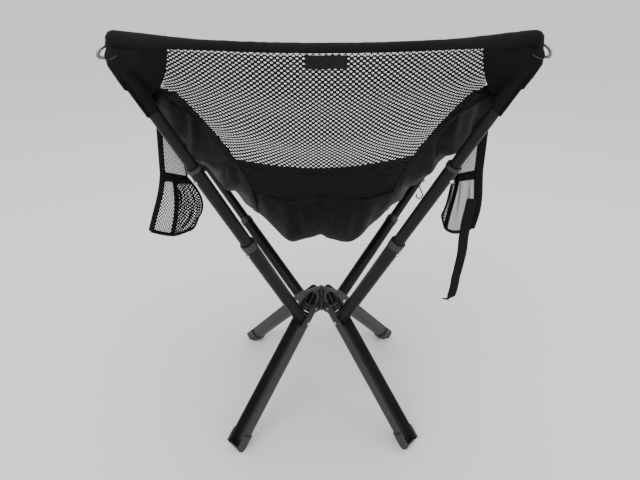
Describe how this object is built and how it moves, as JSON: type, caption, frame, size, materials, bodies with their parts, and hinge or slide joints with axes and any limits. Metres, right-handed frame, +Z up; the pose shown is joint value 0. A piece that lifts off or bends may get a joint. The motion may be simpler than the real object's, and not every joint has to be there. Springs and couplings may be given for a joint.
{
  "type": "camping chair",
  "caption": "Packable camp chair: a ribbed hub with folding channel legs and telescopic poles holding a black sling with mesh back, side pockets, strap and hook.",
  "frame": {"origin": "on the ground, at the middle of the chair's box", "axes": "+Z up; the sitter faces -Y, so the back of the chair is towards +Y and the sitter's left is +X"},
  "size_m": [0.5232, 0.4874, 0.6843],
  "materials": {
    "black_plastic": "fine moulded texture",
    "black_alloy": "satin black anodised",
    "bright_metal": "bright",
    "mesh_fabric": "open hexagonal knit mesh",
    "solid_fabric": "woven nylon",
    "webbing": "ribbed webbing",
    "black_wire": "coated wire",
    "label_cloth": "plain woven label"
  },
  "bodies": {
    "root": {"hub": "black_plastic", "leg_pins": "bright_metal", "seat_panel": "solid_fabric", "back_mesh": "mesh_fabric", "wing_left": "solid_fabric", "wing_right": "solid_fabric", "top_hem": "webbing", "back_corner_patches": "solid_fabric", "front_corner_patches": "solid_fabric", "corner_loops": "bright_metal", "side_pocket_left": "mesh_fabric", "side_pocket_right": "mesh_fabric", "pocket_strap": "webbing", "hook_loop": "webbing", "label": "label_cloth"},
    "leg_back_left": {"leg_channel_back_left": "black_alloy", "foot_back_left": "black_plastic", "pole_pin_back_left": "bright_metal"},
    "pole_back_left": {"lower_tube_back_left": "black_alloy", "pivot_plug_back_left": "black_plastic", "lower_collar_back_left": "black_plastic"},
    "mid_back_left": {"mid_tube_back_left": "black_alloy", "mid_collar_back_left": "black_plastic"},
    "upper_back_left": {"upper_tube_back_left": "black_alloy", "tip_cap_back_left": "black_plastic"},
    "button_low_back_left": {"snap_button_low_back_left": "bright_metal"},
    "button_high_back_left": {"snap_button_high_back_left": "bright_metal"},
    "leg_back_right": {"leg_channel_back_right": "black_alloy", "foot_back_right": "black_plastic", "pole_pin_back_right": "bright_metal"},
    "pole_back_right": {"lower_tube_back_right": "black_alloy", "pivot_plug_back_right": "black_plastic", "lower_collar_back_right": "black_plastic"},
    "mid_back_right": {"mid_tube_back_right": "black_alloy", "mid_collar_back_right": "black_plastic"},
    "upper_back_right": {"upper_tube_back_right": "black_alloy", "tip_cap_back_right": "black_plastic"},
    "button_low_back_right": {"snap_button_low_back_right": "bright_metal"},
    "button_high_back_right": {"snap_button_high_back_right": "bright_metal"},
    "leg_front_left": {"leg_channel_front_left": "black_alloy", "foot_front_left": "black_plastic", "pole_pin_front_left": "bright_metal"},
    "pole_front_left": {"lower_tube_front_left": "black_alloy", "pivot_plug_front_left": "black_plastic", "lower_collar_front_left": "black_plastic"},
    "upper_front_left": {"upper_tube_front_left": "black_alloy", "tip_cap_front_left": "black_plastic"},
    "button_low_front_left": {"snap_button_low_front_left": "bright_metal"},
    "leg_front_right": {"leg_channel_front_right": "black_alloy", "foot_front_right": "black_plastic", "pole_pin_front_right": "bright_metal"},
    "pole_front_right": {"lower_tube_front_right": "black_alloy", "pivot_plug_front_right": "black_plastic", "lower_collar_front_right": "black_plastic"},
    "upper_front_right": {"upper_tube_front_right": "black_alloy", "tip_cap_front_right": "black_plastic"},
    "button_low_front_right": {"snap_button_low_front_right": "bright_metal"},
    "s_hook": {"s_hook": "black_wire"}
  },
  "joints": [
    {"name": "leg_fold_back_left", "type": "hinge", "parent": "root", "child": "leg_back_left", "pos_m": [0.02051, 0.04051, 0.21], "axis": [-0.7071, 0.7071, 0], "range_deg": [0, 42.29]},
    {"name": "pole_fold_back_left", "type": "hinge", "parent": "leg_back_left", "child": "pole_back_left", "pos_m": [0.03478, 0.05478, 0.18781], "axis": [-0.7071, 0.7071, 0], "range_deg": [0, 109.36]},
    {"name": "mid_slide_back_left", "type": "slide", "parent": "pole_back_left", "child": "mid_back_left", "axis": [0.3363, 0.3363, 0.8796], "range_m": [-0.1469, 0], "deforming": ["snap_button_low_back_left"]},
    {"name": "upper_slide_back_left", "type": "slide", "parent": "mid_back_left", "child": "upper_back_left", "axis": [0.3363, 0.3363, 0.8796], "range_m": [-0.1497, 0], "deforming": ["snap_button_high_back_left"]},
    {"name": "button_press_low_back_left", "type": "slide", "parent": "mid_back_left", "child": "button_low_back_left", "axis": [-0.622, -0.622, 0.4756], "range_m": [0, 0.003], "stiffness_N_per_m": 1500},
    {"name": "button_press_high_back_left", "type": "slide", "parent": "upper_back_left", "child": "button_high_back_left", "axis": [-0.622, -0.622, 0.4756], "range_m": [0, 0.003], "stiffness_N_per_m": 1500},
    {"name": "leg_fold_back_right", "type": "hinge", "parent": "root", "child": "leg_back_right", "pos_m": [-0.02051, 0.04051, 0.21], "axis": [-0.7071, -0.7071, 0], "range_deg": [0, 42.34]},
    {"name": "pole_fold_back_right", "type": "hinge", "parent": "leg_back_right", "child": "pole_back_right", "pos_m": [-0.03478, 0.05478, 0.18781], "axis": [-0.7071, -0.7071, 0], "range_deg": [0, 109.36]},
    {"name": "mid_slide_back_right", "type": "slide", "parent": "pole_back_right", "child": "mid_back_right", "axis": [-0.3363, 0.3363, 0.8796], "range_m": [-0.1469, 0], "deforming": ["snap_button_low_back_right"]},
    {"name": "upper_slide_back_right", "type": "slide", "parent": "mid_back_right", "child": "upper_back_right", "axis": [-0.3363, 0.3363, 0.8796], "range_m": [-0.1497, 0], "deforming": ["snap_button_high_back_right"]},
    {"name": "button_press_low_back_right", "type": "slide", "parent": "mid_back_right", "child": "button_low_back_right", "axis": [0.622, -0.622, 0.4756], "range_m": [0, 0.003], "stiffness_N_per_m": 1500},
    {"name": "button_press_high_back_right", "type": "slide", "parent": "upper_back_right", "child": "button_high_back_right", "axis": [0.622, -0.622, 0.4756], "range_m": [0, 0.003], "stiffness_N_per_m": 1500},
    {"name": "leg_fold_front_left", "type": "hinge", "parent": "root", "child": "leg_front_left", "pos_m": [0.02051, -0.00051, 0.21], "axis": [0.7071, 0.7071, 0], "range_deg": [0, 42.34]},
    {"name": "pole_fold_front_left", "type": "hinge", "parent": "leg_front_left", "child": "pole_front_left", "pos_m": [0.03478, -0.01478, 0.18781], "axis": [0.7071, 0.7071, 0], "range_deg": [0, 83.16]},
    {"name": "upper_slide_front_left", "type": "slide", "parent": "pole_front_left", "child": "upper_front_left", "axis": [0.5764, -0.5764, 0.5793], "range_m": [-0.1631, 0], "deforming": ["snap_button_low_front_left"]},
    {"name": "button_press_low_front_left", "type": "slide", "parent": "upper_front_left", "child": "button_low_front_left", "axis": [-0.4096, 0.4096, 0.8151], "range_m": [0, 0.003], "stiffness_N_per_m": 1500},
    {"name": "leg_fold_front_right", "type": "hinge", "parent": "root", "child": "leg_front_right", "pos_m": [-0.02051, -0.00051, 0.21], "axis": [0.7071, -0.7071, 0], "range_deg": [0, 42.34]},
    {"name": "pole_fold_front_right", "type": "hinge", "parent": "leg_front_right", "child": "pole_front_right", "pos_m": [-0.03478, -0.01478, 0.18781], "axis": [0.7071, -0.7071, 0], "range_deg": [0, 83.16]},
    {"name": "upper_slide_front_right", "type": "slide", "parent": "pole_front_right", "child": "upper_front_right", "axis": [-0.5764, -0.5764, 0.5793], "range_m": [-0.1631, 0], "deforming": ["snap_button_low_front_right"]},
    {"name": "button_press_low_front_right", "type": "slide", "parent": "upper_front_right", "child": "button_low_front_right", "axis": [0.4096, 0.4096, 0.8151], "range_m": [0, 0.003], "stiffness_N_per_m": 1500},
    {"name": "hook_swing", "type": "hinge", "parent": "root", "child": "s_hook", "pos_m": [-0.229, -0.239, 0.3494], "axis": [0, 1, 0], "range_deg": [-40, 40]}
  ],
  "couplings": [
    {"joint": "pole_fold_back_left", "follows": "leg_fold_back_left", "ratio": 2.585},
    {"joint": "mid_slide_back_left", "follows": "leg_fold_back_left", "m_per_rad": -0.19863},
    {"joint": "upper_slide_back_left", "follows": "leg_fold_back_left", "m_per_rad": -0.20243},
    {"joint": "leg_fold_back_right", "follows": "leg_fold_back_left", "ratio": 1},
    {"joint": "pole_fold_back_right", "follows": "leg_fold_back_left", "ratio": 2.585},
    {"joint": "mid_slide_back_right", "follows": "leg_fold_back_left", "m_per_rad": -0.19863},
    {"joint": "upper_slide_back_right", "follows": "leg_fold_back_left", "m_per_rad": -0.20243},
    {"joint": "leg_fold_front_left", "follows": "leg_fold_back_left", "ratio": 1},
    {"joint": "pole_fold_front_left", "follows": "leg_fold_back_left", "ratio": 1.9654},
    {"joint": "upper_slide_front_left", "follows": "leg_fold_back_left", "m_per_rad": -0.22058},
    {"joint": "leg_fold_front_right", "follows": "leg_fold_back_left", "ratio": 1},
    {"joint": "pole_fold_front_right", "follows": "leg_fold_back_left", "ratio": 1.9654},
    {"joint": "upper_slide_front_right", "follows": "leg_fold_back_left", "m_per_rad": -0.22058}
  ]
}
